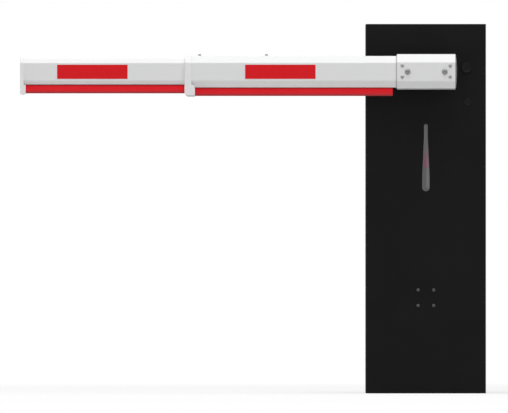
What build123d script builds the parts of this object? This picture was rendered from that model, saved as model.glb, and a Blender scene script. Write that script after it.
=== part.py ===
"""Parking barrier: an upright sheet-metal cabinet and a two-stage arm on a hub at its front.

Millimetres. The origin is the centre of the cabinet's footprint on the ground, +Z is up, the
cabinet's front faces -Y, and the arm reaches out to -X.
"""

import os
from math import atan2, tan

from build123d import *

os.makedirs("parts", exist_ok=True)

# Cabinet of folded steel sheet on a thick base plate
cabinet_width = 330.0
cabinet_depth = 290.0
cabinet_height = 1016.0
sheet = 2.5
fold_radius = 1.8  # outside of the front panel's folded edges
trim_rounding = 0.8  # cut edges of the other panels
base_thickness = 8.0
anchor_pitch_x = 240.0
anchor_pitch_y = 200.0
anchor_hole_radius = 7.0
cable_entry_width = 110.0
cable_entry_depth = 80.0
cable_entry_corner = 12.0
post_leg = 25.0
post_sheet = 2.5
cover_seam = 0.5

# Service door on the back
kick_height = 40.0
door_seam = 1.5
hinge_width = 16.0
hinge_height = 70.0
hinge_thickness = 8.0
hinge_rounding = 3.5
hinge_from_end = 110.0  # door's end to the middle of an outer hinge
lock_from_edge = 40.0
lock_from_bottom = 520.0
lock_head_radius = 14.0
lock_head_height = 4.0
lock_barrel_radius = 9.0
lock_cam_width = 14.0
lock_cam_thickness = 3.0
lock_cam_overlap = 10.0  # how far the cam reaches behind the post

# Status light: a slim drop, narrow at the top, with its lamp strip in a tray behind
lens_below_pivot = 142.2
lens_length = 185.6
lens_top_radius = 5.35
lens_bottom_radius = 10.1
lens_neck_length = 37.0  # from the top to the start of the flare
lens_flare_length = 100.0
lens_bend_run = 12.0  # straight that each soft bend takes up
lens_clearance = 0.2
lens_stand_out = 1.2
lens_edge_rounding = 1.0
lens_flange = 4.0
lens_flange_thickness = 2.0
tray_depth = 16.0
tray_wall = 2.0
lamp_strip_width = 6.0
lamp_strip_length = 130.0
lamp_strip_thickness = 1.6

# Small fittings on the front panel
sensor_height = 263.0
sensor_pitch = 42.8
sensor_plate_side = 64.0
sensor_plate_thickness = 3.0
panel_screw_radius = 2.5
panel_screw_head_radius = 4.85
panel_screw_head_height = 2.8
release_from_side = 53.5
release_above_pivot = 12.2
release_head_radius = 14.5
release_head_height = 3.0
release_stem_radius = 8.0
release_stem_length = 14.0
key_from_side = 51.0
key_below_pivot = 82.3
key_head_radius = 11.0
key_head_height = 3.0
key_barrel_radius = 7.5
key_barrel_length = 24.0
key_nut_radius = 11.0
key_nut_thickness = 4.0
fitting_clearance = 0.3

# Shaft, its bearing in the front panel, and the hub plate
pivot_below_top = 132.2
shaft_radius = 17.5
running_clearance = 0.05
bearing_flange_radius = 46.0
bearing_flange_thickness = 8.0
bearing_flange_edge = 1.5
bearing_barrel_radius = 30.0
bearing_barrel_length = 52.0
bearing_hole_clearance = 0.5
bearing_bolt_circle = 76.0
bearing_bolt_radius = 3.0
bearing_bolt_head_radius = 5.0
bearing_bolt_head_height = 6.0
bearing_bolt_grip = 5.5  # length of thread in the flange
backplate_height = 150.0
backplate_to_release = 8.5
backplate_corner = 8.0
backplate_thickness = 6.0
shaft_ring_radius = 27.0
shaft_ring_width = 14.0
shaft_tail = 8.5  # shaft past its ring
end_float = 0.5
hub_gap = 6.0
hub_width = 140.0
hub_height = 88.0
hub_corner = 12.0
hub_thickness = 10.0

# Wide tube of the arm, from the sleeve to its open end
main_height = 87.0
main_flat = 49.0
main_depth = 52.0
main_slope_depth = 16.0
main_wall = 2.5
main_corner = 4.0
main_reach = 644.7  # pivot axis to the open end

# Narrow tube that slides out of the wide one
inner_height = 71.2
inner_flat = 48.0
inner_depth = 36.0
inner_slope_depth = 9.8
inner_wall = 2.0
inner_corner = 3.0
inner_length = 710.0
arm_reach = 1115.3  # pivot axis to the arm's tip

# Track in a tube's underside, and the hollow rubber strip whose foot it holds
track_mouth = 8.0
track_pocket_width = 14.0
track_pocket_height = 2.6
track_lip = 2.0
track_wall = 2.0
rubber_width = 20.0
main_rubber_height = 22.7
inner_rubber_height = 23.5
rubber_wall = 3.0
rubber_rounding = 6.0
foot_clearance = 0.2
foot_height = 2.2
rubber_to_sleeve = 11.9

# Sleeve that holds the wide tube, with its bolts, screws and end cap
sleeve_length = 160.2
sleeve_height = 97.4
sleeve_flat = 51.5
sleeve_wall = 6.0
sleeve_slope_depth = 20.0
sleeve_corner = 5.0
sleeve_ridge = 12.0  # rounding beside the top and the bottom
sleeve_clearance = 0.3
sleeve_cap_thickness = 4.4  # at its crown
sleeve_cap_edge = 0.7  # at its top and bottom
sleeve_cap_inset = 2.0
bolt_pitch = 102.0
bolt_radius = 5.0
bolt_head_radius = 7.6
bolt_head_height = 5.2
bolt_clearance = 0.5
thread_clearance = 0.05
screw_pitch_x = 131.5
screw_pitch_z = 30.8
screw_rise = 1.2  # over the arm's middle
screw_radius = 2.5
screw_head_radius = 4.7
screw_head_height = 2.6
head_rounding = 1.2
plug_length = 15.0
plug_wall = 3.0
plug_clearance = 0.2

# Collar on the wide tube's open end
collar_width = 18.4
collar_lip = 1.2  # how far it stands proud of the tube
collar_edge = 1.0
collar_spigot = 30.0
slide_clearance = 0.3
tongue_length = 28.0
tongue_drop = 2.0  # below the wide tube's rubber
tongue_corner = 11.5
tongue_heel = 3.0  # rounding at the bottom beside the rubber
tongue_flare_height = 9.0  # over the tube's underside
tongue_flare_bulge = 2.4  # of the flare's hollow curve
tongue_side_rounding = 6.0
tongue_clearance = 0.2

# Clamp screws on top of the wide tube
clamp_from_end = [22.6, 206.0]  # from the tube's open end
clamp_radius = 2.5
clamp_head_radius = 3.5
clamp_head_height = 5.5
clamp_tip_gap = 0.4

# Cap on the arm's tip, and the glide on the narrow tube's hidden end
cap_width = 10.0
cap_lip = 3.3
cap_rounding = 3.0
cap_tongue_length = 15.5
cap_tongue_drop = 4.0  # below the narrow tube's rubber
cap_tongue_corner = 5.5
rubber_to_collar = 0.5
glide_length = 20.0
glide_spigot = 20.0
glide_groove_width = 14.0
glide_groove_depth = 8.0

# Reflective strips on both sides of each tube
reflector_length = 193.4
reflector_height = 38.9
reflector_thickness = 0.4
main_reflector_from_end = 147.5  # wide tube's open end to its strip
inner_reflector_from_tip = 101.9  # arm's tip to the narrow tube's strip

# Places that follow from the sizes above
half_width = cabinet_width / 2
half_depth = cabinet_depth / 2
inside_half_width = half_width - sheet
front_y = -half_depth
inside_front_y = front_y + sheet
door_y = half_depth - sheet
cover_z = cabinet_height - sheet
pivot_z = cabinet_height - pivot_below_top
door_half_width = inside_half_width - door_seam
door_bottom = kick_height + door_seam
door_top = cover_z - door_seam
lens_z = pivot_z - lens_below_pivot - lens_length + lens_bottom_radius  # lower arc's centre
release_x = half_width - release_from_side
release_z = pivot_z + release_above_pivot
key_x = half_width - key_from_side
key_z = pivot_z - key_below_pivot
hub_back_y = front_y - bearing_flange_thickness - hub_gap
sleeve_depth = main_depth + 2 * (sleeve_clearance + sleeve_wall)
sleeve_back_y = hub_back_y - hub_thickness
arm_y = sleeve_back_y - sleeve_depth / 2
sleeve_front_y = sleeve_back_y - sleeve_depth
sleeve_end = sleeve_length / 2
collar_face = main_reach + collar_width  # pivot axis to the collar's outer face
tongue_end = tongue_length - collar_face
cap_face = arm_reach - cap_width  # pivot axis to the narrow tube's outer end
inner_end = cap_face - inner_length  # pivot axis to the narrow tube's hidden end
clamp_spots = [(distance - main_reach, arm_y) for distance in clamp_from_end]
main_reflector_x = main_reflector_from_end + reflector_length / 2 - main_reach
inner_reflector_x = inner_reflector_from_tip + reflector_length / 2 - arm_reach
track_height = track_lip + track_pocket_height + track_wall
track_width = track_pocket_width + 2 * track_wall
rising = (Align.CENTER, Align.MIN)
hanging = (Align.CENTER, Align.MAX)


def front_plane(y):
    """Sketch plane at depth y that faces the front, with its x to the right and its y up."""
    return Plane.XZ.offset(-y)


def arm_plane(x):
    """Sketch plane across the arm and centred on it, with its x to the back and its y up."""
    return Plane(origin=(x, arm_y, pivot_z), x_dir=(0, 1, 0), z_dir=(1, 0, 0))


def boom_outline(height, flat, depth, slope_depth, corner, ridge):
    """Eight-sided outline with upright flats, and corners rounded at its flats and its ridges."""
    edge = depth / 2
    shoulder = edge - slope_depth
    upper = [(edge, flat / 2), (shoulder, height / 2), (-shoulder, height / 2), (-edge, flat / 2)]
    lower = [(y, -z) for y, z in reversed(upper)]
    with BuildSketch() as outline:
        with BuildLine():
            Polyline(*upper, *lower, close=True)
        make_face()
        fillet(outline.vertices().group_by(Axis.Y)[0], ridge)
        fillet(outline.vertices().group_by(Axis.Y)[-1], ridge)
        fillet(outline.vertices().group_by(Axis.X)[0], corner)
        fillet(outline.vertices().group_by(Axis.X)[-1], corner)
    return outline.sketch


def shifted(outline, distance):
    """The same outline, moved outwards, or inwards where the distance is negative."""
    with BuildSketch() as moved:
        add(outline)
        offset(amount=distance, kind=Kind.INTERSECTION)
    return moved.sketch


def bore_section(outline, height, wall, clearance):
    """What fits inside an arm tube with a clearance all round, its track included."""
    with BuildSketch() as section:
        add(shifted(outline, -wall - clearance))
        with Locations((0, -height / 2)):
            Rectangle(
                track_width + 2 * clearance,
                track_height + clearance,
                align=rising,
                mode=Mode.SUBTRACT,
            )
    return section.sketch


def tube_section(outline, height, wall):
    """Wall of an arm tube, with the rubber's track in its underside."""
    bottom = -height / 2
    with BuildSketch() as section:
        add(outline)
        add(bore_section(outline, height, wall, 0), mode=Mode.SUBTRACT)
        with Locations((0, bottom)):
            Rectangle(track_mouth, track_lip, align=rising, mode=Mode.SUBTRACT)
        with Locations((0, bottom + track_lip)):
            Rectangle(track_pocket_width, track_pocket_height, align=rising, mode=Mode.SUBTRACT)
    return section.sketch


def plug_section(outline, height, wall):
    """Hollow plug that a cap pushes into the end of an arm tube."""
    with BuildSketch() as section:
        add(bore_section(outline, height, wall, plug_clearance))
        add(shifted(outline, -wall - plug_clearance - plug_wall), mode=Mode.SUBTRACT)
    return section.sketch


def rubber_section(tube_height, rubber_height):
    """Hollow strip under a tube, with the foot that slides in the tube's track."""
    bottom = -tube_height / 2
    with BuildSketch() as section:
        with Locations((0, bottom)):
            Rectangle(rubber_width, rubber_height, align=hanging)
        fillet(section.vertices().group_by(Axis.Y)[0], rubber_rounding)
        with Locations((0, bottom - rubber_wall)):
            Rectangle(
                rubber_width - 2 * rubber_wall,
                rubber_height - 2 * rubber_wall,
                align=hanging,
                mode=Mode.SUBTRACT,
            )
        with Locations((0, bottom)):
            Rectangle(track_mouth - 2 * foot_clearance, track_lip, align=rising)
        with Locations((0, bottom + track_lip)):
            Rectangle(track_pocket_width - 2 * foot_clearance, foot_height, align=rising)
    return section.sketch


def lens_outline(margin):
    """Slim drop grown by a margin, with its lower arc's centre at the origin."""
    top = lens_length - lens_bottom_radius
    neck = top - lens_neck_length
    flare = neck - lens_flare_length
    shoulder = top - lens_top_radius
    bend = atan2(lens_bottom_radius - lens_top_radius, lens_flare_length)
    soft = lens_bend_run / tan(bend / 2)
    side = [
        (lens_bottom_radius, 0),
        (lens_bottom_radius, flare),
        (lens_top_radius, neck),
        (lens_top_radius, shoulder),
    ]
    with BuildSketch() as outline:
        with BuildLine():
            FilletPolyline(*side, radius=soft)
            FilletPolyline(*[(-x, z) for x, z in side], radius=soft)
            ThreePointArc((lens_top_radius, shoulder), (0, top), (-lens_top_radius, shoulder))
            ThreePointArc((-lens_bottom_radius, 0), (0, -lens_bottom_radius), (lens_bottom_radius, 0))
        make_face()
        if margin:
            offset(amount=margin)
    return outline.sketch


def button_fasteners(spots, seat_y, head_radius, head_height, shank_radius, shank_length):
    """Round-headed fasteners on a face that looks to the front, their shanks pointing back."""
    with BuildPart() as fasteners:
        with BuildSketch(front_plane(seat_y)):
            with Locations(*spots):
                Circle(head_radius)
        extrude(amount=head_height)
        fillet(fasteners.faces().group_by(Axis.Y)[0].edges(), head_rounding)
        with BuildSketch(front_plane(seat_y + shank_length)):
            with Locations(*spots):
                Circle(shank_radius)
        extrude(amount=shank_length)
    return fasteners.part


def grid_spots(pitch_x, pitch_z, middle_z):
    """Four corners of a rectangle that is centred on x = 0 at a height."""
    return [
        (x * pitch_x / 2, middle_z + z * pitch_z / 2)
        for x in (-1, 1)
        for z in (-1, 1)
    ]


sensor_spots = grid_spots(sensor_pitch, sensor_pitch, sensor_height)
screw_spots = grid_spots(screw_pitch_x, screw_pitch_z, pivot_z + screw_rise)
bolt_spots = [(-bolt_pitch / 2, pivot_z), (bolt_pitch / 2, pivot_z)]

# Base plate, with its anchor holes and the entry for the cables from the ground
with BuildPart() as base_plate:
    with BuildSketch():
        Rectangle(2 * inside_half_width, cabinet_depth - 2 * sheet)
        RectangleRounded(
            cable_entry_width, cable_entry_depth, cable_entry_corner, mode=Mode.SUBTRACT
        )
        with GridLocations(anchor_pitch_x, anchor_pitch_y, 2, 2):
            Circle(anchor_hole_radius, mode=Mode.SUBTRACT)
    extrude(amount=base_thickness)

# Cabinet panels
with BuildPart() as front_panel:
    with BuildSketch(front_plane(inside_front_y)):
        Rectangle(cabinet_width, cabinet_height, align=rising)
        with Locations((0, lens_z)):
            add(lens_outline(lens_clearance), mode=Mode.SUBTRACT)
        with Locations((0, pivot_z)):
            Circle(bearing_barrel_radius + bearing_hole_clearance, mode=Mode.SUBTRACT)
            with PolarLocations(bearing_bolt_circle / 2, 4, start_angle=45):
                Circle(bearing_bolt_radius + fitting_clearance, mode=Mode.SUBTRACT)
        with Locations((release_x, release_z)):
            Circle(release_stem_radius + fitting_clearance, mode=Mode.SUBTRACT)
        with Locations((key_x, key_z)):
            Circle(key_barrel_radius + fitting_clearance, mode=Mode.SUBTRACT)
        with Locations(*sensor_spots):
            Circle(panel_screw_radius + fitting_clearance, mode=Mode.SUBTRACT)
    extrude(amount=sheet)
    front_edges = front_panel.faces().sort_by(Axis.Y)[0].edges()
    front_sides = front_edges.filter_by(Axis.Z).sort_by(Axis.X)
    front_top = front_edges.filter_by(Axis.X).sort_by(Axis.Z)[-1]
    fillet([front_sides[0], front_sides[-1], front_top], fold_radius)

with BuildPart() as right_side_panel:
    with BuildSketch():
        with Locations((inside_half_width, inside_front_y)):
            Rectangle(sheet, cabinet_depth - sheet, align=(Align.MIN, Align.MIN))
    extrude(amount=cabinet_height)
    side_edges = right_side_panel.faces().sort_by(Axis.X)[-1].edges()
    side_top = side_edges.filter_by(Axis.Y).sort_by(Axis.Z)[-1]
    side_rear = side_edges.filter_by(Axis.Z).sort_by(Axis.Y)[-1]
    fillet([side_top, side_rear], trim_rounding)

with BuildPart() as left_side_panel:
    mirror(right_side_panel.part, about=Plane.YZ)

with BuildPart() as top_cover:
    with BuildSketch(Plane.XY.offset(cover_z)):
        with Locations((0, inside_front_y + cover_seam)):
            Rectangle(
                2 * (inside_half_width - cover_seam),
                cabinet_depth - sheet - cover_seam,
                align=rising,
            )
    extrude(amount=sheet)
    fillet(top_cover.faces().sort_by(Axis.Z)[-1].edges(), trim_rounding)

with BuildPart() as rear_kick_plate:
    with BuildSketch(front_plane(half_depth)):
        Rectangle(2 * inside_half_width, kick_height, align=rising)
    extrude(amount=sheet)
    kick_edges = rear_kick_plate.faces().sort_by(Axis.Y)[-1].edges()
    fillet(kick_edges.filter_by(Axis.X).sort_by(Axis.Z)[-1], trim_rounding)

# Corner posts: steel angles that join the panels, carry the cover and stop the door
with BuildPart() as front_right_post:
    with BuildSketch(Plane.XY.offset(base_thickness)):
        with Locations((inside_half_width, inside_front_y)):
            Rectangle(post_leg, post_leg, align=(Align.MAX, Align.MIN))
        with Locations((inside_half_width - post_sheet, inside_front_y + post_sheet)):
            Rectangle(post_leg, post_leg, align=(Align.MAX, Align.MIN), mode=Mode.SUBTRACT)
    extrude(amount=cover_z - base_thickness)

with BuildPart() as front_left_post:
    mirror(front_right_post.part, about=Plane.YZ)

with BuildPart() as rear_right_post:
    mirror(front_right_post.part, about=Plane.XZ)

with BuildPart() as rear_left_post:
    mirror(rear_right_post.part, about=Plane.YZ)

# Service door, its hinges over the left seam, and a cam lock that closes behind the right post
lock_x = door_half_width - lock_from_edge
lock_z = door_bottom + lock_from_bottom

with BuildPart() as service_door:
    with BuildSketch(front_plane(half_depth)):
        with Locations((0, door_bottom)):
            Rectangle(2 * door_half_width, door_top - door_bottom, align=rising)
        with Locations((lock_x, lock_z)):
            Circle(lock_barrel_radius + fitting_clearance, mode=Mode.SUBTRACT)
    extrude(amount=sheet)
    door_edges = service_door.faces().sort_by(Axis.Y)[-1].edges()
    fillet(door_edges.filter_by(GeomType.LINE), trim_rounding)

with BuildPart() as door_hinges:
    hinge_heights = [
        door_bottom + hinge_from_end,
        (door_bottom + door_top) / 2,
        door_top - hinge_from_end,
    ]
    with BuildSketch(front_plane(half_depth + hinge_thickness)):
        with Locations(*[(-half_width, z) for z in hinge_heights]):
            Rectangle(hinge_width, hinge_height, align=(Align.MIN, Align.CENTER))
    extrude(amount=hinge_thickness)
    fillet(door_hinges.edges().filter_by(Axis.Z).group_by(Axis.Y)[-1], hinge_rounding)

with BuildPart() as door_lock:
    cam_y = door_y - post_sheet
    cam_end = inside_half_width - post_leg + lock_cam_overlap
    with BuildSketch(front_plane(half_depth + lock_head_height)):
        with Locations((lock_x, lock_z)):
            Circle(lock_head_radius)
    extrude(amount=lock_head_height)
    fillet(door_lock.faces().sort_by(Axis.Y)[-1].edges(), head_rounding)
    with BuildSketch(front_plane(half_depth)):
        with Locations((lock_x, lock_z)):
            Circle(lock_barrel_radius)
    extrude(amount=half_depth - cam_y)
    with BuildSketch(front_plane(cam_y)):
        with Locations((lock_x, lock_z)):
            Circle(lock_barrel_radius)
            Rectangle(cam_end - lock_x, lock_cam_width, align=(Align.MIN, Align.CENTER))
    extrude(amount=lock_cam_thickness)

# Status light: lens in the panel's cut-out, lamp strip on the floor of the tray behind it
tray_front_y = inside_front_y + lens_flange_thickness
tray_back_y = tray_front_y + tray_depth

with BuildPart() as status_lens:
    with BuildSketch(front_plane(inside_front_y)):
        with Locations((0, lens_z)):
            add(lens_outline(0))
    extrude(amount=sheet + lens_stand_out)
    fillet(status_lens.faces().sort_by(Axis.Y)[0].edges(), lens_edge_rounding)
    with BuildSketch(front_plane(tray_front_y)):
        with Locations((0, lens_z)):
            add(lens_outline(lens_flange))
    extrude(amount=lens_flange_thickness)

with BuildPart() as light_tray:
    with BuildSketch(front_plane(tray_back_y)):
        with Locations((0, lens_z)):
            add(lens_outline(lens_flange))
    extrude(amount=tray_depth)
    with BuildSketch(front_plane(tray_back_y - tray_wall)):
        with Locations((0, lens_z)):
            add(lens_outline(lens_flange - tray_wall))
    extrude(amount=tray_depth - tray_wall, mode=Mode.SUBTRACT)

with BuildPart() as led_strip:
    with BuildSketch(front_plane(tray_back_y - tray_wall)):
        with Locations((0, lens_z + lens_length / 2 - lens_bottom_radius)):
            Rectangle(lamp_strip_width, lamp_strip_length)
    extrude(amount=lamp_strip_thickness)

# Sensor plate behind the front panel, and the four screws that hold it
with BuildPart() as sensor_bracket:
    with BuildSketch(front_plane(inside_front_y + sensor_plate_thickness)):
        with Locations((0, sensor_height)):
            Rectangle(sensor_plate_side, sensor_plate_side)
        with Locations(*sensor_spots):
            Circle(panel_screw_radius + thread_clearance, mode=Mode.SUBTRACT)
    extrude(amount=sensor_plate_thickness)

with BuildPart() as panel_screws:
    add(
        button_fasteners(
            sensor_spots,
            front_y,
            panel_screw_head_radius,
            panel_screw_head_height,
            panel_screw_radius,
            sheet + sensor_plate_thickness,
        )
    )

# Round cover over the hand release, and the key lock below it
with BuildPart() as release_cover:
    add(
        button_fasteners(
            [(release_x, release_z)],
            front_y,
            release_head_radius,
            release_head_height,
            release_stem_radius,
            release_stem_length,
        )
    )

with BuildPart() as key_lock:
    add(
        button_fasteners(
            [(key_x, key_z)],
            front_y,
            key_head_radius,
            key_head_height,
            key_barrel_radius,
            key_barrel_length,
        )
    )
    with BuildSketch(front_plane(inside_front_y + key_nut_thickness)):
        with Locations((key_x, key_z)):
            Circle(key_nut_radius)
    extrude(amount=key_nut_thickness)

# Bearing in the front panel, stiffened by a plate and bolted from inside, and its shaft
barrel_end_y = front_y + bearing_barrel_length
ring_y = barrel_end_y + end_float + shaft_ring_width
shaft_end_y = ring_y + shaft_tail

backplate_y = inside_front_y + backplate_thickness
backplate_width = 2 * (release_x - release_stem_radius - backplate_to_release)
bearing_bolt_length = backplate_thickness + sheet + bearing_bolt_grip

with BuildPart() as bearing_housing:
    with BuildSketch(front_plane(front_y)):
        with Locations((0, pivot_z)):
            Circle(bearing_flange_radius)
    extrude(amount=bearing_flange_thickness)
    chamfer(bearing_housing.faces().sort_by(Axis.Y)[0].edges(), bearing_flange_edge)
    with BuildSketch(front_plane(front_y)):
        with Locations((0, pivot_z)):
            with PolarLocations(bearing_bolt_circle / 2, 4, start_angle=45):
                Circle(bearing_bolt_radius + thread_clearance)
    extrude(amount=bearing_bolt_grip, mode=Mode.SUBTRACT)
    with BuildSketch(front_plane(barrel_end_y)):
        with Locations((0, pivot_z)):
            Circle(bearing_barrel_radius)
    extrude(amount=bearing_barrel_length)
    with BuildSketch(front_plane(barrel_end_y)):
        with Locations((0, pivot_z)):
            Circle(shaft_radius + running_clearance)
    extrude(amount=bearing_barrel_length + bearing_flange_thickness, mode=Mode.SUBTRACT)

with BuildPart() as bearing_backplate:
    with BuildSketch(front_plane(backplate_y)):
        with Locations((0, pivot_z)):
            RectangleRounded(backplate_width, backplate_height, backplate_corner)
            Circle(bearing_barrel_radius + bearing_hole_clearance, mode=Mode.SUBTRACT)
            with PolarLocations(bearing_bolt_circle / 2, 4, start_angle=45):
                Circle(bearing_bolt_radius + fitting_clearance, mode=Mode.SUBTRACT)
    extrude(amount=backplate_thickness)

with BuildPart() as bearing_bolts:
    with BuildSketch(front_plane(backplate_y)):
        with Locations((0, pivot_z)):
            with PolarLocations(bearing_bolt_circle / 2, 4, start_angle=45):
                Circle(bearing_bolt_radius)
    extrude(amount=bearing_bolt_length)
    with BuildSketch(front_plane(backplate_y + bearing_bolt_head_height)):
        with Locations((0, pivot_z)):
            with PolarLocations(bearing_bolt_circle / 2, 4, start_angle=45):
                Circle(bearing_bolt_head_radius)
    extrude(amount=bearing_bolt_head_height)

with BuildPart() as drive_shaft:
    with BuildSketch(front_plane(shaft_end_y)):
        with Locations((0, pivot_z)):
            Circle(shaft_radius)
    extrude(amount=shaft_end_y - hub_back_y)

with BuildPart() as shaft_collar:
    with BuildSketch(front_plane(ring_y)):
        with Locations((0, pivot_z)):
            Circle(shaft_ring_radius)
            Circle(shaft_radius + running_clearance, mode=Mode.SUBTRACT)
    extrude(amount=shaft_ring_width)

# Hub plate on the shaft's front end, tapped for the two arm bolts
with BuildPart() as hub_plate:
    with BuildSketch(front_plane(hub_back_y)):
        with Locations((0, pivot_z)):
            RectangleRounded(hub_width, hub_height, hub_corner)
        with Locations(*bolt_spots):
            Circle(bolt_radius + thread_clearance, mode=Mode.SUBTRACT)
    extrude(amount=hub_thickness)

# Sleeve: a short thick extrusion around the wide tube
main_outline = boom_outline(
    main_height, main_flat, main_depth, main_slope_depth, main_corner, main_corner
)
inner_outline = boom_outline(
    inner_height, inner_flat, inner_depth, inner_slope_depth, inner_corner, inner_corner
)
sleeve_outline = boom_outline(
    sleeve_height, sleeve_flat, sleeve_depth, sleeve_slope_depth, sleeve_corner, sleeve_ridge
)

with BuildPart() as arm_sleeve:
    with BuildSketch(arm_plane(-sleeve_end)):
        add(sleeve_outline)
        add(shifted(main_outline, sleeve_clearance), mode=Mode.SUBTRACT)
    extrude(amount=sleeve_length)
    with BuildSketch(front_plane(sleeve_back_y)):
        with Locations(*bolt_spots):
            Circle(bolt_radius + bolt_clearance)
    extrude(amount=sleeve_depth, mode=Mode.SUBTRACT)
    with BuildSketch(front_plane(sleeve_front_y + sleeve_wall)):
        with Locations(*screw_spots):
            Circle(screw_radius + thread_clearance)
    extrude(amount=sleeve_wall, mode=Mode.SUBTRACT)

with BuildPart() as sleeve_end_cap:
    with BuildSketch(arm_plane(sleeve_end)):
        add(shifted(sleeve_outline, -sleeve_cap_inset))
    extrude(amount=sleeve_cap_thickness)
    with BuildSketch(front_plane(arm_y + sleeve_depth / 2)):
        with BuildLine():
            crown = ThreePointArc(
                (sleeve_end + sleeve_cap_edge, pivot_z - sleeve_height / 2),
                (sleeve_end + sleeve_cap_thickness, pivot_z),
                (sleeve_end + sleeve_cap_edge, pivot_z + sleeve_height / 2),
            )
            Polyline(
                crown @ 1,
                (sleeve_end, pivot_z + sleeve_height / 2),
                (sleeve_end, pivot_z - sleeve_height / 2),
                crown @ 0,
            )
        make_face()
    extrude(amount=sleeve_depth, mode=Mode.INTERSECT)
    with BuildSketch(arm_plane(sleeve_end - plug_length)):
        add(plug_section(main_outline, main_height, main_wall))
    extrude(amount=plug_length)

with BuildPart() as sleeve_bolts:
    add(
        button_fasteners(
            bolt_spots,
            sleeve_front_y,
            bolt_head_radius,
            bolt_head_height,
            bolt_radius,
            sleeve_depth + hub_thickness,
        )
    )

with BuildPart() as sleeve_screws:
    add(
        button_fasteners(
            screw_spots,
            sleeve_front_y,
            screw_head_radius,
            screw_head_height,
            screw_radius,
            sleeve_wall,
        )
    )

# Wide tube and its rubber
with BuildPart() as main_tube:
    with BuildSketch(arm_plane(-main_reach)):
        add(tube_section(main_outline, main_height, main_wall))
    extrude(amount=main_reach + sleeve_end)
    with BuildSketch(front_plane(arm_y + main_depth / 2)):
        with Locations(*bolt_spots):
            Circle(bolt_radius + bolt_clearance)
    extrude(amount=main_depth, mode=Mode.SUBTRACT)
    with BuildSketch(Plane.XY.offset(pivot_z + main_height / 2 - main_wall)):
        with Locations(*clamp_spots):
            Circle(clamp_radius + thread_clearance)
    extrude(amount=main_wall, mode=Mode.SUBTRACT)

with BuildPart() as main_rubber:
    with BuildSketch(arm_plane(tongue_end)):
        add(rubber_section(main_height, main_rubber_height))
    extrude(amount=-tongue_end - sleeve_end - rubber_to_sleeve)

# Collar: one moulding round the wide tube's end, flat in front. A spigot inside the tube guides the
# narrow tube, and a tongue flares out below to close the rubber's end.
tube_bottom = pivot_z - main_height / 2
tongue_bottom = tube_bottom - main_rubber_height - tongue_drop
collar_depth = main_depth + 2 * collar_lip
collar_top = pivot_z + main_height / 2 + collar_lip

with BuildPart() as tube_collar:
    with BuildSketch(arm_plane(-collar_face)):
        add(shifted(main_outline, collar_lip))
        with BuildSketch(mode=Mode.PRIVATE) as tongue:
            Rectangle(collar_depth, pivot_z - tongue_bottom, align=hanging)
            fillet(tongue.vertices().group_by(Axis.Y)[0], tongue_side_rounding)
        add(tongue.sketch)
    extrude(amount=tongue_length)
    chamfer(tube_collar.faces().sort_by(Axis.X)[0].edges(), collar_edge)
    with BuildSketch(front_plane(arm_y + collar_depth / 2)) as front_view:
        with BuildLine():
            flare = SagittaArc(
                (-main_reach, tube_bottom + tongue_flare_height),
                (tongue_end, tube_bottom),
                tongue_flare_bulge,
            )
            Polyline(
                flare @ 1,
                (tongue_end, tongue_bottom),
                (-collar_face, tongue_bottom),
                (-collar_face, collar_top),
                (-main_reach, collar_top),
                flare @ 0,
            )
        make_face()
        lowest = front_view.vertices().group_by(Axis.Y)[0].sort_by(Axis.X)
        fillet(lowest[0], tongue_corner)
        fillet(lowest[-1], tongue_heel)
    extrude(amount=collar_depth, mode=Mode.INTERSECT)
    with BuildSketch(arm_plane(-main_reach)):
        add(shifted(main_outline, tongue_clearance))
    extrude(amount=tongue_length, mode=Mode.SUBTRACT)
    with BuildSketch(arm_plane(-main_reach)):
        add(bore_section(main_outline, main_height, main_wall, plug_clearance))
    extrude(amount=collar_spigot)
    with BuildSketch(arm_plane(-collar_face)):
        add(shifted(inner_outline, slide_clearance))
    extrude(amount=collar_width + collar_spigot, mode=Mode.SUBTRACT)
    with BuildSketch(Plane.XY.offset(pivot_z + inner_height / 2)):
        with Locations(*clamp_spots):
            Circle(clamp_radius + thread_clearance)
    extrude(amount=(main_height - inner_height) / 2, mode=Mode.SUBTRACT)

with BuildPart() as clamp_screws:
    with BuildSketch(Plane.XY.offset(pivot_z + main_height / 2)):
        with Locations(*clamp_spots):
            Circle(clamp_head_radius)
    extrude(amount=clamp_head_height)
    with BuildSketch(Plane.XY.offset(pivot_z + inner_height / 2 + clamp_tip_gap)):
        with Locations(*clamp_spots):
            Circle(clamp_radius)
    extrude(amount=(main_height - inner_height) / 2 - clamp_tip_gap)

# Narrow tube, its rubber, the cap on its tip and the glide on its hidden end
cap_depth = inner_depth + 2 * cap_lip
cap_top = pivot_z + inner_height / 2 + cap_lip
inner_bottom = pivot_z - inner_height / 2
cap_bottom = inner_bottom - inner_rubber_height - cap_tongue_drop
cap_tongue_end = cap_tongue_length - arm_reach

with BuildPart() as inner_tube:
    with BuildSketch(arm_plane(-cap_face)):
        add(tube_section(inner_outline, inner_height, inner_wall))
    extrude(amount=inner_length)

with BuildPart() as inner_rubber:
    with BuildSketch(arm_plane(cap_tongue_end)):
        add(rubber_section(inner_height, inner_rubber_height))
    extrude(amount=-cap_tongue_end - collar_face - rubber_to_collar)

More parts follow.
